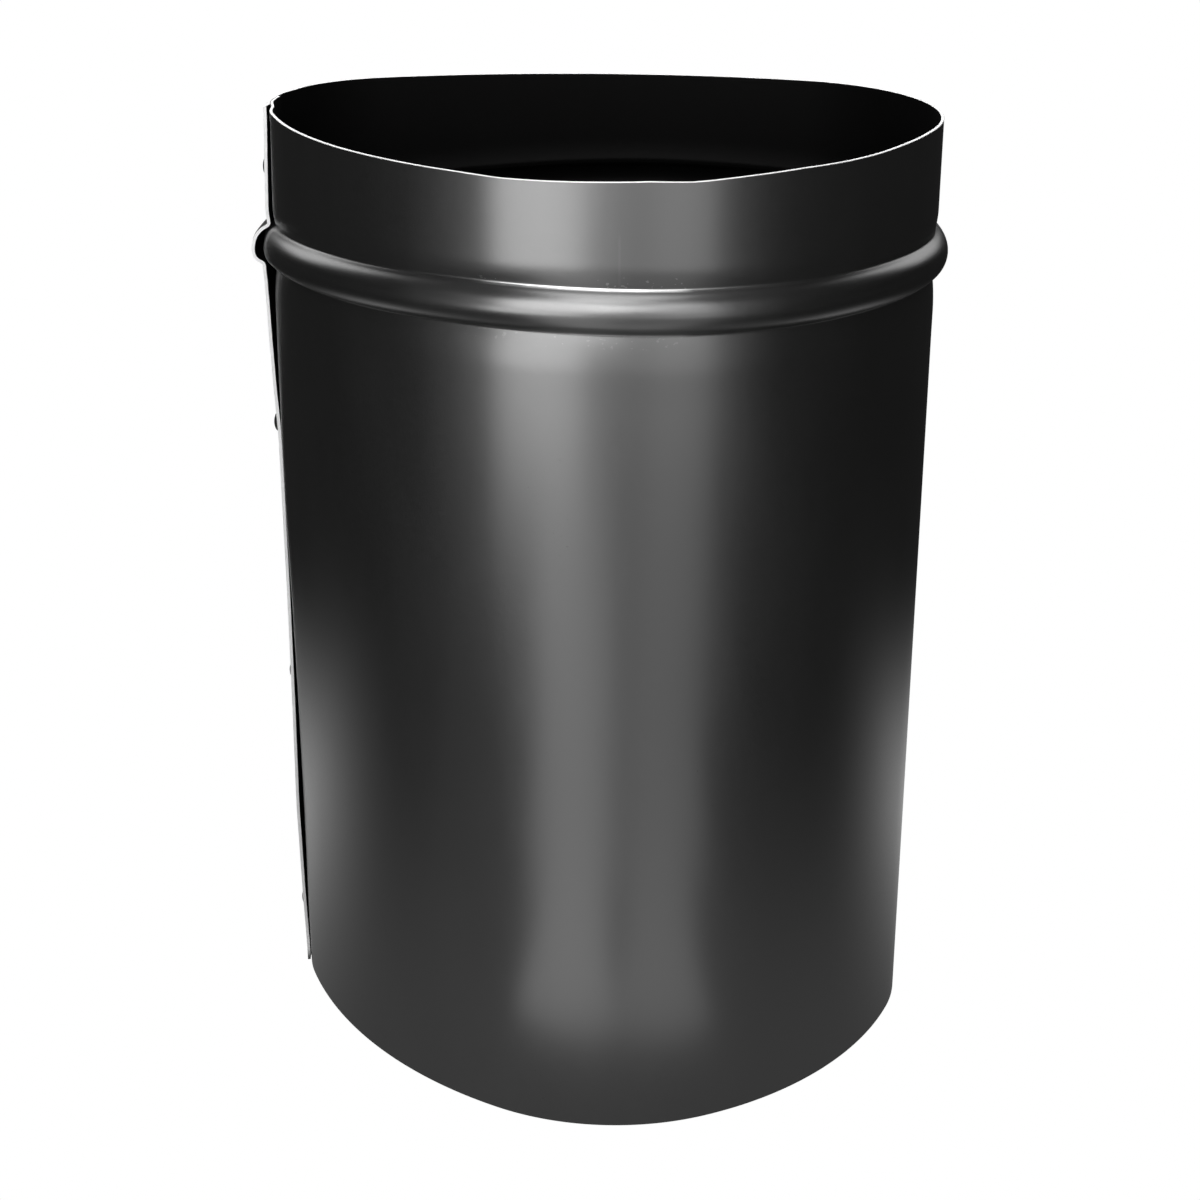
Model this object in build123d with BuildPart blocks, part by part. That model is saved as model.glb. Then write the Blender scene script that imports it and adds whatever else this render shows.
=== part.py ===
"""Section of stove pipe, standing on its lower edge.

One steel sheet is rolled into a rounded three-cornered section, lapped over
itself at the left and closed by a row of rivets. A bead runs round it below
the spigot, as the stop for the socket that slides over the spigot.
"""

import os
from collections import namedtuple
from math import atan2, cos, degrees, radians, sin, sqrt

from build123d import *

Corner = namedtuple("Corner", "x y radius")

# Overall sizes
height = 250.0
sheet = 0.8

# Plan of the outer face: three corner arcs
front_corner = Corner(5.0, 3.6, 65.7)
right_corner = Corner(42.1, 10.8, 43.6)
left_corner = Corner(-49.3, 22.7, 34.8)

# Plan of the outer face: the three flank arcs that wrap the corners
left_flank = 120.0
right_flank = 96.0
back_flank = 217.0

# Bead and the shallow necks that its rolling draws in beside it
spigot_length = 31.0
bead_width = 10.4
bead_rise = 2.9
neck_depth = 0.8
lower_neck_length = 15.0
upper_neck_length = 11.0
crease_radius = 1.3

# Lap seam on the left corner, measured along the sheet
lap_edge_angle = 187.5
lap_width = 14.0
lap_gap = 0.15
joggle_length = 9.0
joggle_to_end = 2.0
flap_bead_rise = 3.6

# Rivets of the lap seam
rivet_foot = 17.5
rivet_pitch = 73.5
rivets_below_bead = 3
rivet_above_neck = 3.5
shank_diameter = 3.2
head_diameter = 5.8
head_rise = 1.5
tail_diameter = 4.8
tail_rise = 1.0
hole_clearance = 0.1

# Worked out from the sizes above
bead_height = height - spigot_length
rivet_heights = [rivet_foot + i * rivet_pitch for i in range(rivets_below_bead)]
rivet_heights.append(bead_height + upper_neck_length + rivet_above_neck)


def heading(start, end):
    """Direction in degrees from the centre of one arc to another's."""
    return degrees(atan2(end.y - start.y, end.x - start.x))


def flank(first, second, radius):
    """Arc of this radius that wraps two corner arcs and is tangent to both."""
    span = sqrt((second.x - first.x) ** 2 + (second.y - first.y) ** 2)
    to_first = radius - first.radius
    to_second = radius - second.radius
    along = (to_first**2 - to_second**2 + span**2) / (2 * span)
    inward = sqrt(to_first**2 - along**2)
    right = (second.x - first.x) / span
    up = (second.y - first.y) / span
    x = first.x + right * along - up * inward
    y = first.y + up * along + right * inward
    return Corner(x, y, radius)


def outward(angle):
    """Level direction out of the pipe at an angle in degrees."""
    return Vector(cos(radians(angle)), sin(radians(angle)), 0)


def section_plane(arc, angle):
    """Upright plane across the sheet, with x pointing out of the pipe."""
    origin = Vector(arc.x, arc.y, 0) + outward(angle) * arc.radius
    return Plane(origin=origin, x_dir=outward(angle), z_dir=outward(angle - 90))


def inward(direction):
    """Direction into the pipe, square to one that runs up or down the sheet."""
    square = direction.rotate(Axis.Z, 90)
    return square if direction.Y > 0 else -square


def along_left_corner(length):
    """Angle that a length of sheet covers on the left corner."""
    return degrees(length / left_corner.radius)


def sheet_section(stand_off, rise):
    """Section of the sheet: x out of the pipe, y up, drawn inwards from its outer face."""
    crease = bead_width / 2
    neck_start = bead_height - lower_neck_length
    neck_end = bead_height + upper_neck_length
    with BuildLine() as face:
        lower_wall = Line((stand_off, 0), (stand_off, neck_start))
        lower_neck = TangentArc(
            lower_wall @ 1, (stand_off - neck_depth, bead_height - crease), tangent=(0, 1)
        )
        bead = ThreePointArc(
            lower_neck @ 1,
            (stand_off + rise, bead_height),
            (stand_off - neck_depth, bead_height + crease),
        )
        TangentArc((stand_off, neck_end), bead @ 1, tangent=(0, -1))
        Line((stand_off, neck_end), (stand_off, height))
        fillet([face.vertices().sort_by_distance(bead @ 0)[0]], radius=crease_radius)
        fillet([face.vertices().sort_by_distance(bead @ 1)[0]], radius=crease_radius)
    with BuildSketch() as section:
        with BuildLine():
            add(face.line)
            for edge in face.edges():
                inner = [edge @ t + inward(edge % t) * sheet for t in (0, 0.5, 1)]
                if edge.geom_type == GeomType.LINE:
                    Line(inner[0], inner[2])
                else:
                    ThreePointArc(inner[0], inner[1], inner[2])
            Line((stand_off, 0), (stand_off - sheet, 0))
            Line((stand_off, height), (stand_off - sheet, height))
        make_face()
    return section.sketch


# Plain sheet, and the flap that lies over its other end
plain_section = sheet_section(0, bead_rise)
flap_section = sheet_section(lap_gap + sheet, flap_bead_rise)

# Arcs of the rolled sheet in turn, with the angles where each starts and ends
left_wrap = flank(left_corner, front_corner, left_flank)
right_wrap = flank(front_corner, right_corner, right_flank)
back_wrap = flank(right_corner, left_corner, back_flank)
inner_end = lap_edge_angle - along_left_corner(lap_width)
flap_start = inner_end - along_left_corner(joggle_to_end)
joggle_start = flap_start - along_left_corner(joggle_length)
rolled_arcs = [
    (left_corner, inner_end, heading(left_wrap, left_corner)),
    (left_wrap, heading(left_wrap, left_corner), heading(left_wrap, front_corner)),
    (front_corner, heading(left_wrap, front_corner), heading(right_wrap, front_corner)),
    (right_wrap, heading(right_wrap, front_corner), heading(right_wrap, right_corner)),
    (right_corner, heading(right_wrap, right_corner), heading(back_wrap, right_corner)),
    (back_wrap, heading(back_wrap, right_corner), heading(back_wrap, left_corner)),
    (left_corner, heading(back_wrap, left_corner), joggle_start),
]

# Shell: the rolled sheet
with BuildPart() as pipe_shell:
    for arc, start, end in rolled_arcs:
        with BuildSketch(section_plane(arc, start)):
            add(plain_section)
        revolve(
            axis=Axis((arc.x, arc.y, 0), (0, 0, 1)),
            revolution_arc=(end - start) % 360,
        )

    # Flap of the lap seam
    with BuildSketch(section_plane(left_corner, flap_start)):
        add(flap_section)
    revolve(
        axis=Axis((left_corner.x, left_corner.y, 0), (0, 0, 1)),
        revolution_arc=lap_edge_angle - flap_start,
    )

    # Joggle that lifts the flap over the other end of the sheet
    with BuildSketch(section_plane(left_corner, joggle_start)):
        add(plain_section)
    with BuildSketch(section_plane(left_corner, flap_start)):
        add(flap_section)
    loft(ruled=True)

    # Rivet holes through both layers of the lap
    rivet_angle = lap_edge_angle - along_left_corner(lap_width / 2)
    for rivet_height in rivet_heights:
        rivet_base = (left_corner.x, left_corner.y, rivet_height)
        with BuildSketch(Plane(origin=rivet_base, z_dir=outward(rivet_angle))):
            Circle((shank_diameter + hole_clearance) / 2)
        extrude(amount=2 * left_corner.radius, mode=Mode.SUBTRACT)
pipe_shell.part.label = "pipe_shell"

# Rivets: domed head on the flap, tail upset flat inside the pipe
head_seat = left_corner.radius + lap_gap + sheet
tail_seat = sqrt((left_corner.radius - sheet) ** 2 - (tail_diameter / 2) ** 2)
with BuildPart() as seam_rivets:
    for rivet_height in rivet_heights:
        rivet_base = (left_corner.x, left_corner.y, rivet_height)
        rivet_plane = Plane(
            origin=rivet_base, x_dir=outward(rivet_angle), z_dir=outward(rivet_angle - 90)
        )
        with BuildSketch(rivet_plane):
            with BuildLine():
                head_dome = TangentArc(
                    (head_seat + head_rise, 0), (head_seat, head_diameter / 2), tangent=(0, 1)
                )
                tail_dome = TangentArc(
                    (tail_seat - tail_rise, 0), (tail_seat, tail_diameter / 2), tangent=(0, 1)
                )
                Polyline(
                    head_dome @ 1,
                    (head_seat, shank_diameter / 2),
                    (tail_seat, shank_diameter / 2),
                    tail_dome @ 1,
                )
                Line(head_dome @ 0, tail_dome @ 0)
            make_face()
        revolve(axis=Axis(rivet_base, outward(rivet_angle)))
seam_rivets.part.label = "seam_rivets"

os.makedirs("parts", exist_ok=True)
export_step(pipe_shell.part, "parts/pipe_shell.step")
export_step(seam_rivets.part, "parts/seam_rivets.step")
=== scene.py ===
"""Stove pipe: black steel section with a bead, a lapped seam and its rivets."""

from math import atan2, cos, degrees, hypot, pi, radians, sin, sqrt

import bpy
import numpy as np
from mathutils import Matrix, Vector


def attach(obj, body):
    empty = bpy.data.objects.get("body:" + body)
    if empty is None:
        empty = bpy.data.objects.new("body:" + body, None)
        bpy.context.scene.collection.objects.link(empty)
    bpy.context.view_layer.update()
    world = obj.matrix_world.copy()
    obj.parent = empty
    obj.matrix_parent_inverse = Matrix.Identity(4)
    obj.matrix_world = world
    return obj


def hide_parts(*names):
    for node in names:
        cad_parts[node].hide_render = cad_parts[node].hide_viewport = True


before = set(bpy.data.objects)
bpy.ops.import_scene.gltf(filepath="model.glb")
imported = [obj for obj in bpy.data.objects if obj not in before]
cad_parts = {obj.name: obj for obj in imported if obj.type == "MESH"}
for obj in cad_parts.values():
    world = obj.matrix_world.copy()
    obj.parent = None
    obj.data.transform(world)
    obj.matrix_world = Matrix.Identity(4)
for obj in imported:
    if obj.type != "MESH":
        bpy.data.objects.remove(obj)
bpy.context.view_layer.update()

MM = 0.001

# The sheet and its plan, as in the solids (mm): centre x, centre y, radius of the outer face
HEIGHT = 250.0
SHEET = 0.8
FRONT = (5.0, 3.6, 65.7)
RIGHT = (42.1, 10.8, 43.6)
LEFT = (-49.3, 22.7, 34.8)
FLANKS = {"left": 120.0, "right": 96.0, "back": 217.0}

# Bead and its necks (mm)
BEAD_Z = 219.0
BEAD_HALF = 5.2
BEAD_RISE = 2.9
NECK = 0.8
LOWER_NECK = 15.0
UPPER_NECK = 11.0
CREASE = 0.55

# Lap seam (mm, degrees)
LAP_EDGE = 187.5
LAP_WIDTH = 14.0
JOGGLE = 9.0
JOGGLE_TO_END = 2.0
LAP_GAP = 0.04
FLAP_BEAD_EXTRA = 0.7
RIVET_ALONG = 7.0
RIVET_HEIGHTS = (17.5, 91.0, 164.5, 233.5)
HEAD_RADIUS = 2.9

# How far the left corner is drawn in at the lap, by height (mm)
TUCK = [(20, 0.0), (35, -0.25), (52, -0.4), (84, -0.5), (114, -0.4), (144, 0.0), (159, -0.1),
        (173, -0.35), (187, -0.4), (200, -0.7), (208, -0.8), (215, -1.65), (222, -1.45),
        (226, -1.5), (237, -1.95), (247, -2.4)]
# and how that fades round the corner, by the way the sheet faces (degrees)
TUCK_ROUND = [(140, 0.0), (150, 0.3), (162, 0.55), (176, 0.62), (184, 0.95), (188, 1.0),
              (192, 0.8), (200, 0.5), (206, 0.15), (212, 0.0)]
# Stand-off of the flap's inner face at its free edge, by height (mm)
FREE_EDGE = [(6, 0.3), (20, 0.63), (52, 0.97), (84, 0.45), (114, 0.1), (144, 0.0), (162, -0.1),
             (167, 0.0), (173, 0.3), (178, 0.5), (184, 0.63), (189, 0.8), (195, 0.9), (200, 0.98),
             (205, 1.3), (210, 2.2), (215, 0.8), (219, 0.4), (222, 0.05), (226, -0.25),
             (236, -0.6), (247, -1.1)]
# Wander of the bead's ring (mm) and of the sawn rim (mm), by the same angles
RING_WANDER = [(0, -1.65), (20, -1.3), (45, 0.0), (130, 0.0), (160, -1.2), (180, -2.2), (196, -2.2),
               (206, -1.0), (216, -0.35), (240, -0.4), (290, -0.3), (314, -0.25), (322, -0.6),
               (333, -1.45), (345, -1.6), (360, -1.65)]
RIM_DIP = [(205, 0.0), (219, 0.22), (238, 0.12), (246, 0.36), (257, 0.2), (267, 0.05), (276, 0.0),
           (284.3, 0.48), (288, 0.45), (295, 0.2), (303, 0.06), (312, 0.34), (318, 0.36),
           (323, 0.2), (333, 0.05), (345, 0.0)]


# ---------- helpers ----------
def smooth(a, b, x):
    """0 before a, 1 after b, and a smooth rise between."""
    t = np.clip((np.asarray(x, float) - a) / (b - a), 0, 1)
    return t * t * (3 - 2 * t)


def through(x, points, ease=3.0):
    """Curve through (x, value) points, eased over this reach and flat beyond both ends."""
    xs = [p[0] for p in points]
    ys = [p[1] for p in points]
    total = 0.0
    for step, share in ((-1, 1), (-0.5, 2), (0, 3), (0.5, 2), (1, 1)):
        total = total + share * np.interp(np.asarray(x, float) + step * ease, xs, ys)
    return total / 9


# ---------- plan of the rolled sheet ----------
def heading(start, end):
    return degrees(atan2(end[1] - start[1], end[0] - start[0]))


def flank(first, second, radius):
    """Arc that wraps two corner arcs and is tangent to both."""
    span = hypot(second[0] - first[0], second[1] - first[1])
    a, b = radius - first[2], radius - second[2]
    along = (a * a - b * b + span * span) / (2 * span)
    inward = sqrt(a * a - along * along)
    right, up = (second[0] - first[0]) / span, (second[1] - first[1]) / span
    return (first[0] + right * along - up * inward, first[1] + up * along + right * inward, radius)


def plan_samples(step):
    """Samples along the sheet from its covered end to the flap's free edge.

    Each is (distance, x, y, normal angle in degrees, distance past the joggle's start or None).
    """
    left = flank(LEFT, FRONT, FLANKS["left"])
    right = flank(FRONT, RIGHT, FLANKS["right"])
    back = flank(RIGHT, LEFT, FLANKS["back"])
    turn = degrees(1 / LEFT[2])
    covered_end = LAP_EDGE - LAP_WIDTH * turn
    joggle_start = covered_end - (JOGGLE_TO_END + JOGGLE) * turn
    runs = [
        (LEFT, covered_end, heading(left, LEFT) + 360),
        (left, heading(left, LEFT), heading(left, FRONT)),
        (FRONT, heading(left, FRONT), heading(right, FRONT)),
        (right, heading(right, FRONT), heading(right, RIGHT)),
        (RIGHT, heading(right, RIGHT), heading(back, RIGHT)),
        (back, heading(back, RIGHT), heading(back, LEFT)),
        (LEFT, heading(back, LEFT), joggle_start),
        (LEFT, joggle_start, LAP_EDGE),
    ]
    out = []
    done = 0.0
    for number, (arc, start, end) in enumerate(runs):
        length = radians((end - start) % 360) * arc[2]
        fine = 0.5 if number in (0, 7) else 1.0
        count = max(2, int(round(length / (step * fine))))
        for i in range(count + (number == len(runs) - 1)):
            part = length * i / count
            angle = start + degrees(part / arc[2])
            x = arc[0] + arc[2] * cos(radians(angle))
            y = arc[1] + arc[2] * sin(radians(angle))
            out.append((done + part, x, y, angle, part if number == 7 else None))
        done += length
    return out


# ---------- profile of the sheet's outer face ----------
def bead_profile(z):
    """Distance of the outer face from the plan at heights z, with creases left sharp."""
    out = np.zeros(len(z))
    for length, reach in ((LOWER_NECK, BEAD_Z - z), (UPPER_NECK, z - BEAD_Z)):
        radius = (length - BEAD_HALF) ** 2 / (2 * NECK) + NECK / 2
        part = np.clip(length - reach, 0, length - BEAD_HALF)
        bow = radius - np.sqrt(radius * radius - part * part)
        out = np.where(reach > BEAD_HALF, -bow, out)
    tall = BEAD_RISE + NECK
    radius = (BEAD_HALF**2 + tall * tall) / (2 * tall)
    reach = np.clip(radius * radius - (z - BEAD_Z) ** 2, 0, None)
    return np.where(abs(z - BEAD_Z) <= BEAD_HALF, BEAD_RISE - radius + np.sqrt(reach), out)


def eased(z, values, radius):
    """The profile with its creases rounded over about this radius."""
    fine = np.linspace(0, HEIGHT, 5001)
    curve = values(fine)
    width = max(1, int(radius / (fine[1] - fine[0])))
    kernel = np.hanning(2 * width + 3)[1:-1]
    kernel /= kernel.sum()
    near = smooth(BEAD_Z - 14, BEAD_Z - 9, fine) * (1 - smooth(BEAD_Z + 9, BEAD_Z + 12, fine))
    padded = np.pad(curve, width, mode="edge")
    return np.interp(z, fine, curve * (1 - near) + np.convolve(padded, kernel, "valid") * near)


def rows():
    """Heights of the mesh rows: close together over the bead."""
    return np.concatenate([
        np.linspace(0, 196, 40)[:-1],
        np.linspace(196, 211, 16)[:-1],
        np.linspace(211, 227, 65)[:-1],
        np.linspace(227, 234, 10)[:-1],
        np.linspace(234, HEIGHT, 8),
    ])


def ring_drop(around, facing, z):
    """How far the bead's ring wavers up or down at this side of the pipe."""
    a = np.radians(around)
    ring = 0.4 + 0.48 * np.cos(a) + 0.40 * np.sin(a) - 1.74 * np.cos(2 * a) + 0.83 * np.sin(2 * a)
    ring = ring + through(facing, RING_WANDER)
    return ring * smooth(150, 203, z) * (1 - smooth(233, 249, z))


def tuck(facing, height):
    """How far the sheet is drawn in at the lap's corner."""
    return through(height, TUCK) * through(facing, TUCK_ROUND, 2.0)


def waviness(along, z):
    """Slight hollows that rolling leaves in the sheet, always inwards."""
    soft = (
        np.sin(along / 17.0 + 1.3) * np.sin(z / 61.0 + 0.4)
        + 0.6 * np.sin(along / 9.5 + z / 83.0 + 2.2)
        + 0.5 * np.sin(z / 33.0 + along / 41.0)
    )
    return -0.035 * (1 + soft / 2.1)


# ---------- shell ----------
def build_shell():
    samples = plan_samples(1.9)
    along = np.array([s[0] for s in samples])
    base = np.array([(s[1], s[2]) for s in samples])
    angle = np.array([s[3] for s in samples])
    past = np.array([-1.0 if s[4] is None else s[4] for s in samples])
    normal = np.c_[np.cos(np.radians(angle)), np.sin(np.radians(angle))]
    z = rows()
    facing = (angle % 360)[:, None]
    around = np.degrees(np.arctan2(base[:, 1], base[:, 0]))[:, None]
    height = z[None, :] + ring_drop(around, facing, z[None, :])
    plain = eased(z, bead_profile, CREASE)
    offset = plain[None, :] + tuck(facing, height)

    # the flap: stepped out over the other end, and standing off it near its free edge
    past = past[:, None]
    crown = np.clip(1 - ((z - BEAD_Z) / BEAD_HALF) ** 2, 0, 1)[None, :]
    stepped = smooth(0, JOGGLE, past)
    close = tuck(facing, height) + LAP_GAP + FLAP_BEAD_EXTRA * crown
    free = through(height, FREE_EDGE, 1.2)
    clamped = JOGGLE + JOGGLE_TO_END + RIVET_ALONG + HEAD_RADIUS - 0.3
    loose = smooth(clamped - 8.0 * smooth(16, 7, abs(z - BEAD_Z))[None, :],
                   JOGGLE + JOGGLE_TO_END + LAP_WIDTH, past)
    flap = plain[None, :] + SHEET + close * (1 - loose) + free * loose
    offset = offset * (1 - stepped) + flap * stepped

    # smooth hollows, none at the seam, the foot and the rim
    clear = smooth(18, 40, along) * (1 - smooth(along[-1] - 60, along[-1] - 30, along))
    calm = smooth(4, 25, z) * (1 - smooth(196, 206, z))
    offset = offset + waviness(along[:, None], z[None, :]) * clear[:, None] * calm[None, :]

    count, levels = offset.shape
    slope = np.gradient(offset, axis=1) / np.gradient(height, axis=1)
    tilt = np.stack([1 / np.sqrt(1 + slope**2), -slope / np.sqrt(1 + slope**2)], -1)
    thick = SHEET
    outer = np.zeros((count, levels, 3))
    outer[..., :2] = base[:, None, :] + normal[:, None, :] * offset[..., None]
    outer[..., 2] = height
    inner = outer.copy()
    inner[..., :2] -= normal[:, None, :] * (tilt[..., :1] * thick)
    inner[..., 2] -= tilt[..., 1] * thick
    inner[:, 0, 2] = 0.0
    inner[:, -1, 2] = HEIGHT
    dip = np.interp(facing, *zip(*RIM_DIP)) * smooth(240, HEIGHT, z)[None, :]
    outer[..., 2] -= dip
    inner[..., 2] -= dip

    # closed loop round the thickness: outer face up, rim, inner face down, foot
    burr = 0.1
    rim_out, rim_in = outer[:, -1].copy(), inner[:, -1].copy()
    across = (rim_in - rim_out) / thick
    foot_out, foot_in = outer[:, 0].copy(), inner[:, 0].copy()
    outer[:, -1, 2] -= burr
    inner[:, -1, 2] -= burr
    outer[:, 0, 2] += burr
    inner[:, 0, 2] += burr
    loop = np.concatenate([
        (foot_out + across * burr)[:, None], outer, (rim_out + across * burr)[:, None],
        (rim_in - across * burr)[:, None], inner[:, ::-1], (foot_in - across * burr)[:, None],
    ], axis=1)
    size = loop.shape[1]
    verts = loop.reshape(-1, 3) * MM

    faces, kind = [], []
    up = levels + 1
    for i in range(count - 1):
        for k in range(size):
            n = (k + 1) % size
            faces.append((i * size + k, (i + 1) * size + k, (i + 1) * size + n, i * size + n))
            cut = k in (0, levels, up, 2 * levels + 2, size - 1) or k == up + levels + 1
            kind.append(1 if cut else 2 if k > up else 0)
    # cut ends of the sheet: the covered end and the flap's free edge
    for i, flip in ((0, False), (count - 1, True)):
        for k in range(size // 2 - 1):
            a, b = i * size + k, i * size + k + 1
            c, d = i * size + size - 2 - k, i * size + size - 1 - k
            faces.append((a, b, c, d) if flip else (d, c, b, a))
            kind.append(1)
    mesh = bpy.data.meshes.new("pipe_shell")
    mesh.from_pydata(verts.tolist(), [], faces)
    mesh.polygons.foreach_set("material_index", kind)
    mesh.polygons.foreach_set("use_smooth", [True] * len(faces))

    # distance along the sheet and up its profile, for the finish
    up_outer = np.r_[0, np.cumsum(np.hypot(np.diff(plain), np.diff(z)))]
    profile = np.concatenate([[0], up_outer, [up_outer[-1]], [up_outer[-1]], up_outer[::-1], [0]])
    side = np.concatenate([[0.5], np.zeros(levels), [0.5, 0.5], np.ones(levels), [0.5]])
    level = np.concatenate([[0], z, [HEIGHT, HEIGHT], z[::-1], [0]])
    put_attribute(mesh, "along", np.repeat(along, size) * MM)
    put_attribute(mesh, "profile", np.tile(profile, count) * MM)
    put_attribute(mesh, "level", np.tile(level, count) * MM)
    put_attribute(mesh, "inside", np.tile(side, count))
    put_attribute(mesh, "facing", np.repeat(((angle + 180) % 360) - 180, size))
    put_attribute(mesh, "flap", np.repeat(stepped[:, 0], size))
    uv = mesh.uv_layers.new(name="sheet")
    index = np.zeros(len(mesh.loops), int)
    mesh.loops.foreach_get("vertex_index", index)
    flat = np.c_[np.repeat(along, size)[index], np.tile(profile, count)[index]] * MM
    uv.data.foreach_set("uv", flat.ravel())
    mesh.validate()
    mesh.set_sharp_from_angle(angle=radians(38))
    return mesh


def put_attribute(mesh, name, values):
    layer = mesh.attributes.new(name, "FLOAT", "POINT")
    layer.data.foreach_set("value", np.asarray(values, np.float32))


# ---------- finishes ----------
class Nodes:
    """Small helper that adds and links shader nodes."""

    def __init__(self, name):
        self.material = bpy.data.materials.new(name)
        self.material.use_nodes = True
        self.tree = self.material.node_tree
        self.tree.nodes.clear()

    def add(self, kind, inputs=None, **settings):
        node = self.tree.nodes.new(kind)
        for key, value in settings.items():
            setattr(node, key, value)
        for key, value in (inputs or {}).items():
            if isinstance(value, bpy.types.NodeSocket):
                self.tree.links.new(value, node.inputs[key])
            else:
                node.inputs[key].default_value = value
        return node

    def attribute(self, name):
        return self.add("ShaderNodeAttribute", attribute_name=name).outputs["Fac"]

    def math(self, operation, a, b=0.0, clamp=False):
        node = self.add("ShaderNodeMath", {0: a, 1: b}, operation=operation)
        node.use_clamp = clamp
        return node.outputs[0]

    def band(self, value, centre, width, soft):
        """1 within width of centre, falling to 0 over soft."""
        far = self.math("ABSOLUTE", self.math("SUBTRACT", value, centre))
        return self.rise(far, width + soft, width)

    def rise(self, value, low, high):
        node = self.add("ShaderNodeMapRange", {"Value": value, "From Min": low, "From Max": high},
                        interpolation_type="SMOOTHSTEP")
        return node.outputs[0]

    def noise(self, scale, detail=2.0, stretch=(1, 1, 1), rough=0.5, coordinate="Object"):
        place = self.add("ShaderNodeTexCoord").outputs[coordinate]
        scaled = self.add("ShaderNodeMapping", {"Vector": place, "Scale": stretch})
        node = self.add("ShaderNodeTexNoise", {"Vector": scaled.outputs[0], "Scale": scale,
                                               "Detail": detail, "Roughness": rough})
        return node.outputs["Fac"]

    def mix(self, factor, a, b, data="FLOAT"):
        node = self.add("ShaderNodeMix", data_type=data)
        first, second = (2, 3) if data == "FLOAT" else (6, 7)
        for key, value in ((0, factor), (first, a), (second, b)):
            if isinstance(value, bpy.types.NodeSocket):
                self.tree.links.new(value, node.inputs[key])
            else:
                node.inputs[key].default_value = value
        return node.outputs[0 if data == "FLOAT" else 2]


def stove_black():
    """Satin black stove paint on rolled sheet: fine grain, scuffs on the bead's creases, and bare
    steel along the creases kept to the lit front, where it also paints the highlight.
    """
    n = Nodes("stove_black")
    level, facing = n.attribute("level"), n.attribute("facing")
    # painted highlight: the front band where the lamps' highlight falls, which limits the bright
    # crease steel
    front = n.math("MAXIMUM", n.band(facing, -97.0, 19.0, 4.0),
                   n.math("MULTIPLY", n.band(facing, -75.0, 15.0, 35.0), 0.12))
    outside = n.rise(n.attribute("inside"), 0.4, 0.2)
    # scuffs where the rolls ran, broken up along the ring; kept to the lit front band, so they also
    # paint the crease's highlight
    broken = n.rise(n.noise(260, 3, (1, 1, 4)), 0.47, 0.62)
    upper = n.band(level, (BEAD_Z + BEAD_HALF) * MM, 0.15 * MM, 0.25 * MM)
    lower = n.band(level, (BEAD_Z - BEAD_HALF) * MM, 0.15 * MM, 0.35 * MM)
    crease = n.math("MAXIMUM", upper, n.math("MULTIPLY", lower, 0.35))
    wear_and_highlight = n.math("MULTIPLY", n.math("MULTIPLY", crease, outside), front)
    wear_and_highlight = n.math("MULTIPLY", wear_and_highlight, n.mix(broken, 0.75, 1.0), clamp=True)
    # specks above the upper crease, a cluster of scratches, scuffs below the lower crease
    specks = n.rise(n.noise(900, 1, (1, 1, 1.6)), 0.66, 0.72)
    crest = (BEAD_Z + BEAD_HALF) * MM
    foot = (BEAD_Z - BEAD_HALF) * MM
    for middle, reach, turned, spread, strength in (
        (crest + 1.6 * MM, 1.1 * MM, -85.0, 9.0, 0.25),
        (crest + 1.5 * MM, 0.5 * MM, -114.5, 2.2, 0.9),
        (foot - 1.8 * MM, 1.2 * MM, -99.0, 20.0, 0.10),
    ):
        patch = n.math("MULTIPLY", n.band(level, middle, reach, 0.6 * MM),
                       n.band(facing, turned, spread, 3.0))
        patch = n.math("MULTIPLY", n.math("MULTIPLY", patch, specks), strength)
        wear_and_highlight = n.math("MAXIMUM", wear_and_highlight, n.math("MULTIPLY", patch, outside))
    # one faint upright scratch on the spigot
    scratch = n.math("MULTIPLY", n.band(facing, -89.8, 0.12, 0.25),
                     n.band(level, crest + 6 * MM, 5 * MM, 3 * MM))
    wear_and_highlight = n.math("MAXIMUM", wear_and_highlight, n.math("MULTIPLY", n.math("MULTIPLY", scratch, outside), 0.03))
    mottle = n.noise(38, 4, (1, 1, 0.35))
    grain = n.noise(2600, 2, (1, 1, 0.5), 0.6)
    base = n.mix(mottle, (0.0018, 0.0018, 0.0018, 1), (0.0032, 0.0032, 0.0032, 1), "RGBA")
    rough = n.math("ADD", 0.32, n.math("MULTIPLY", n.math("SUBTRACT", mottle, 0.5), 0.10))
    rough = n.math("ADD", rough, n.math("MULTIPLY", n.math("SUBTRACT", grain, 0.5), 0.12))
    bump = n.add("ShaderNodeBump", {"Height": grain, "Strength": 0.10, "Distance": 0.00006})
    paint = n.add("ShaderNodeBsdfPrincipled", {
        "Base Color": base, "Roughness": rough, "IOR": 2.03, "Specular IOR Level": 1.0,
        "Normal": bump.outputs[0]})
    steel = n.add("ShaderNodeBsdfPrincipled", {
        "Base Color": (0.92, 0.92, 0.92, 1), "Metallic": 1.0, "Roughness": 0.3})
    both = n.add("ShaderNodeMixShader", {0: wear_and_highlight, 1: paint.outputs[0], 2: steel.outputs[0]})
    n.add("ShaderNodeOutputMaterial", {"Surface": both.outputs[0]})
    return n.material


def inside_shade_black():
    """The thin dull coat on the inside of the sheet; its gloss is kept so low that it also paints
    the shade inside the pipe.
    """
    n = Nodes("inside_shade_black")
    mottle = n.noise(38, 4, (1, 1, 0.35))
    base = n.mix(mottle, (0.0018, 0.0018, 0.0018, 1), (0.0035, 0.0035, 0.0035, 1), "RGBA")
    # painted shade: the gloss is set almost to nothing, so the inside renders dark
    coat = n.add("ShaderNodeBsdfPrincipled", {
        "Base Color": base, "Roughness": 0.5, "IOR": 1.55, "Specular IOR Level": 0.05})
    n.add("ShaderNodeOutputMaterial", {"Surface": coat.outputs[0]})
    return n.material


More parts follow.
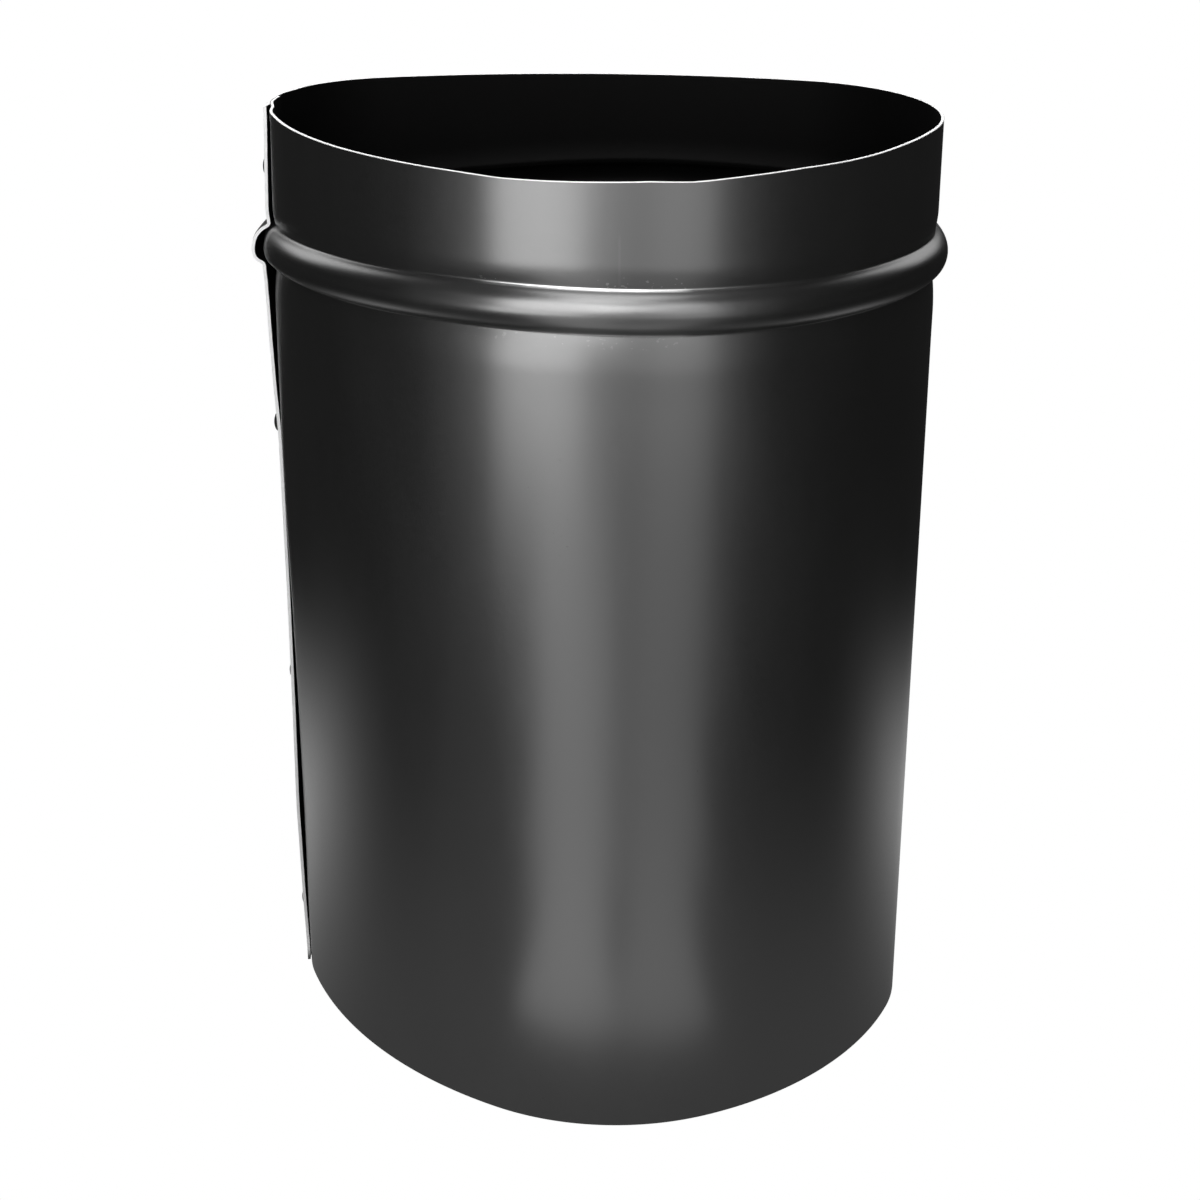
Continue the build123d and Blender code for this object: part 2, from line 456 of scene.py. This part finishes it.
def cut_steel():
    """Bare edge left by the shears: bright, with fine marks across the thickness."""
    n = Nodes("cut_steel")
    marks = n.noise(900, 2, (1, 1, 1), 0.6)
    level = n.attribute("level")
    # painted shade: the cut edge is darkened to near black over its lowest 4 mm, where it meets the
    # floor
    foot = n.rise(level, 0.004, 0.0)
    shade = n.mix(marks, (0.80, 0.80, 0.80, 1), (0.97, 0.97, 0.97, 1), "RGBA")
    shade = n.mix(foot, shade, (0.05, 0.05, 0.05, 1), "RGBA")
    bump = n.add("ShaderNodeBump", {"Height": marks, "Strength": 0.3, "Distance": 0.00005})
    steel = n.add("ShaderNodeBsdfPrincipled", {
        "Base Color": shade, "Metallic": 0.65, "Roughness": 0.5, "Normal": bump.outputs[0]})
    n.add("ShaderNodeOutputMaterial", {"Surface": steel.outputs[0]})
    return n.material


def rivet_black():
    """The same paint on the rivets, rubbed thin on the domes."""
    n = Nodes("rivet_black")
    rubbed = n.rise(n.noise(900, 3), 0.5, 0.75)
    base = n.mix(rubbed, (0.018, 0.018, 0.018, 1), (0.06, 0.06, 0.06, 1), "RGBA")
    paint = n.add("ShaderNodeBsdfPrincipled", {
        "Base Color": base, "Roughness": n.mix(rubbed, 0.38, 0.3), "IOR": 1.55})
    n.add("ShaderNodeOutputMaterial", {"Surface": paint.outputs[0]})
    return n.material


# ---------- rivets ----------
def rivet_mesh():
    """One rivet along +X from the left corner's centre: domed head, shank and flattened tail."""
    seat = LEFT[2] + 0.15 + SHEET
    tail = sqrt((LEFT[2] - SHEET) ** 2 - 2.4**2)
    head_r, head_h, tail_r, tail_h, shank_r = HEAD_RADIUS, 1.5, 2.4, 1.0, 1.6
    line = []
    for i in range(9):
        t = i / 8 * 0.97
        line.append((seat + head_h * sqrt(1 - t * t), head_r * t))
    line += [(seat + 0.22, head_r), (seat, head_r - 0.06), (seat, shank_r), (tail, shank_r)]
    line += [(tail, tail_r - 0.05), (tail - 0.2, tail_r)]
    for i in range(7):
        t = 0.97 - i / 6 * 0.97
        line.append((tail - tail_h * sqrt(1 - t * t), tail_r * t))
    turns = 32
    verts, faces = [], []
    for x, r in line:
        for k in range(turns):
            a = 2 * pi * k / turns
            verts.append((x * MM, r * cos(a) * MM, r * sin(a) * MM))
    for i in range(len(line) - 1):
        for k in range(turns):
            n = (k + 1) % turns
            faces.append((i * turns + k, i * turns + n, (i + 1) * turns + n, (i + 1) * turns + k))
    mesh = bpy.data.meshes.new("rivet")
    mesh.from_pydata(verts, [], faces)
    mesh.polygons.foreach_set("use_smooth", [True] * len(faces))
    return mesh


def node_link(tree, source, output, target, entry):
    tree.links.new(source.outputs[output], target.inputs[entry])


def rivets_by_nodes(name, heights, material):
    """A row of rivets: one rivet set on each point of the seam line by geometry nodes."""
    facing = LAP_EDGE - degrees(RIVET_ALONG / LEFT[2])
    angle = radians(facing)
    centres = []
    for height in heights:
        shift = float(tuck(facing, height))
        x, y = LEFT[0] + shift * cos(angle), LEFT[1] + shift * sin(angle)
        centres.append((x * MM, y * MM, height * MM))
    points = bpy.data.meshes.new(name + "_points")
    points.from_pydata(centres, [], [])
    carrier = bpy.data.objects.new(name, points)
    bpy.context.collection.objects.link(carrier)
    pattern = bpy.data.objects.new(name + "_pattern", rivet_mesh())
    bpy.context.collection.objects.link(pattern)
    tree = bpy.data.node_groups.new(name, "GeometryNodeTree")
    tree.interface.new_socket("Geometry", in_out="INPUT", socket_type="NodeSocketGeometry")
    turn = tree.interface.new_socket("Seam angle", in_out="INPUT", socket_type="NodeSocketFloat")
    scale = tree.interface.new_socket("Rivet scale", in_out="INPUT", socket_type="NodeSocketFloat")
    tree.interface.new_socket("Geometry", in_out="OUTPUT", socket_type="NodeSocketGeometry")
    enter = tree.nodes.new("NodeGroupInput")
    leave = tree.nodes.new("NodeGroupOutput")
    to_points = tree.nodes.new("GeometryNodeMeshToPoints")
    one = tree.nodes.new("GeometryNodeObjectInfo")
    one.inputs["Object"].default_value = pattern
    place = tree.nodes.new("GeometryNodeInstanceOnPoints")
    about = tree.nodes.new("ShaderNodeCombineXYZ")
    solid = tree.nodes.new("GeometryNodeRealizeInstances")
    dress = tree.nodes.new("GeometryNodeSetMaterial")
    dress.inputs["Material"].default_value = material
    node_link(tree, enter, 0, to_points, 0)
    node_link(tree, to_points, 0, place, "Points")
    node_link(tree, one, "Geometry", place, "Instance")
    node_link(tree, enter, "Seam angle", about, "Z")
    node_link(tree, about, 0, place, "Rotation")
    node_link(tree, enter, "Rivet scale", place, "Scale")
    node_link(tree, place, 0, solid, 0)
    node_link(tree, solid, 0, dress, 0)
    node_link(tree, dress, 0, leave, 0)
    rivet_modifier = carrier.modifiers.new("rivets", "NODES")
    rivet_modifier.node_group = tree
    rivet_modifier[turn.identifier] = angle
    rivet_modifier[scale.identifier] = 1.0
    bpy.context.view_layer.update()
    evaluated = carrier.evaluated_get(bpy.context.evaluated_depsgraph_get())
    ready = bpy.data.meshes.new_from_object(evaluated)
    carrier.modifiers.remove(rivet_modifier)
    bpy.data.objects.remove(carrier)
    bpy.data.objects.remove(pattern)
    return ready


# ---------- studio ----------
STAND = 0.6


def area_light(name, place, aim, size, power, spread=180.0):
    light = bpy.data.lights.new(name, "AREA")
    light.shape = "RECTANGLE"
    light.size, light.size_y = size
    light.energy = power
    light.spread = radians(spread)
    thing = bpy.data.objects.new(name, light)
    thing.location = place
    thing.rotation_euler = (Vector(aim) - Vector(place)).to_track_quat("-Z", "Y").to_euler()
    thing.visible_camera = False
    bpy.context.collection.objects.link(thing)
    return thing


def studio():
    world = bpy.data.worlds.new("studio")
    bpy.context.scene.world = world
    world.use_nodes = True
    tree = world.node_tree
    tree.nodes.clear()
    path = tree.nodes.new("ShaderNodeLightPath")
    dim = tree.nodes.new("ShaderNodeBackground")
    dim.inputs["Color"].default_value = (0.01, 0.01, 0.01, 1)
    bright = tree.nodes.new("ShaderNodeBackground")
    bright.inputs["Color"].default_value = (1, 1, 1, 1)
    mix = tree.nodes.new("ShaderNodeMixShader")
    out = tree.nodes.new("ShaderNodeOutputWorld")
    tree.links.new(path.outputs["Is Camera Ray"], mix.inputs[0])
    tree.links.new(dim.outputs[0], mix.inputs[1])
    tree.links.new(bright.outputs[0], mix.inputs[2])
    tree.links.new(mix.outputs[0], out.inputs[0])

    # floor, plain white to the camera: pale behind the pipe, in front it darkens with distance
    n = Nodes("pale_floor")
    place = n.add("ShaderNodeTexCoord").outputs["Object"]
    reach = n.add("ShaderNodeVectorMath", {0: place}, operation="LENGTH").outputs["Value"]
    fade = n.rise(reach, 0.30, 0.08)
    tone = n.mix(fade, (0.04, 0.04, 0.04, 1), (0.29, 0.29, 0.29, 1), "RGBA")
    depth = n.add("ShaderNodeSeparateXYZ", {"Vector": place}).outputs["Y"]
    behind = n.math("MULTIPLY", n.rise(depth, -0.03, 0.12), n.rise(reach, 0.37, 0.15))
    tone = n.mix(behind, tone, (0.85, 0.85, 0.85, 1), "RGBA")
    pale = n.add("ShaderNodeBsdfDiffuse", {"Color": tone})
    # gloss mirrors the floor in its own tone
    rays = n.add("ShaderNodeLightPath")
    mirrored = n.math("MAXIMUM", rays.outputs["Is Glossy Ray"], rays.outputs["Is Transmission Ray"])
    glow = n.add("ShaderNodeEmission", {"Color": tone, "Strength": n.mix(behind, 0.5, 1.05)})
    pale = n.add("ShaderNodeMixShader", {0: mirrored, 1: pale.outputs[0], 2: glow.outputs[0]})
    white = n.add("ShaderNodeEmission", {"Color": (1, 1, 1, 1), "Strength": 1.0})
    seen = rays.outputs["Is Camera Ray"]
    both = n.add("ShaderNodeMixShader", {0: seen, 1: pale.outputs[0], 2: white.outputs[0]})
    n.add("ShaderNodeOutputMaterial", {"Surface": both.outputs[0]})
    mesh = bpy.data.meshes.new("floor")
    r = 6.0
    mesh.from_pydata([(-r, -r, 0), (r, -r, 0), (r, r, 0), (-r, r, 0)], [], [(0, 1, 2, 3)])
    mesh.materials.append(n.material)
    floor = bpy.data.objects.new("floor", mesh)
    floor.location.z = -0.0002
    bpy.context.collection.objects.link(floor)

    # strip lights stand round the pipe: name, direction (degrees), height, size, power
    for name, around, z, size, power in (
        ("key_low", -122, 0.1, (0.42, 0.2), 0.6),
        ("key_middle", -112, 0.4, (0.54, 0.4), 1.96),
        ("key_top", -108, 0.75, (0.50, 0.3), 0.85),
        ("key_high", -96, 1.15, (0.50, 0.3), 1.4),
        ("front_low", -88, 0.1, (0.3, 0.2), 0.1),
        ("front_high", -84, 0.45, (0.22, 0.3), 0.44),
        ("fill_low", -62, 0.1, (0.28, 0.2), 0.15),
        ("fill_middle", -62, 0.4, (0.28, 0.4), 0.46),
        ("fill_top", -62, 0.72, (0.28, 0.3), 0.36),
        ("back_left", 140, 0.5, (0.3, 0.3), 0.5),
        ("back_middle", 90, 0.5, (0.5, 0.3), 1.5),
        ("back_right", 45, 0.5, (0.3, 0.3), 0.4),
    ):
        place = (STAND * cos(radians(around)), STAND * sin(radians(around)), z)
        area_light(name, place, (0, 0, min(z, 0.15)), size, power)
    area_light("overhead", (0.0, -0.1, 1.0), (0, 0, 0.2), (0.5, 0.5), 1.9)
    # white cards lie on the floor in front, wider with distance
    for name, around, reach, size, power in (
        ("card_left_near", -105, 0.14, (0.07, 0.08), 0.0096),
        ("card_left_middle", -106, 0.24, (0.13, 0.12), 0.0272),
        ("card_left_far", -106, 0.395, (0.22, 0.19), 0.078),
        ("card_right_near", -72, 0.14, (0.065, 0.08), 0.0058),
        ("card_right_middle", -69, 0.24, (0.12, 0.12), 0.0164),
        ("card_right_far", -67, 0.395, (0.21, 0.19), 0.042),
    ):
        place = (reach * cos(radians(around)), reach * sin(radians(around)), 0.002)
        card = area_light(name, place, (place[0], place[1], 1.0), size, power)
        card.rotation_euler = (pi, 0, radians(around + 90))


def camera():
    lens = bpy.data.cameras.new("camera")
    lens.lens = 69.18
    lens.sensor_width = 36.0
    lens.clip_start = 0.01
    eye = bpy.data.objects.new("camera", lens)
    eye.location = (0.0009, -0.5602, 0.3687)
    eye.rotation_euler = (radians(90 - 23.67), 0, 0)
    bpy.context.collection.objects.link(eye)
    bpy.context.scene.camera = eye


# ---------- the pipe ----------
paint, bare, inside_shade_coat, rivet_paint = stove_black(), cut_steel(), inside_shade_black(), rivet_black()

shell_mesh = build_shell()
shell_mesh.materials.append(paint)
shell_mesh.materials.append(bare)
# the inside faces take the dark inside coat, which paints their shade
shell_mesh.materials.append(inside_shade_coat)
shell = bpy.data.objects.new("rolled_shell", shell_mesh)
bpy.context.collection.objects.link(shell)
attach(shell, "root")
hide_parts("pipe_shell")

rivet_row = rivets_by_nodes("seam_row", RIVET_HEIGHTS, rivet_paint)
rivet_row.name = "lap_rivets"
rivet_row.set_sharp_from_angle(angle=radians(40))
rivets = bpy.data.objects.new("lap_rivets", rivet_row)
bpy.context.collection.objects.link(rivets)
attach(rivets, "root")
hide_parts("seam_rivets")

studio()
camera()

bpy.context.scene.view_settings.view_transform = "Standard"
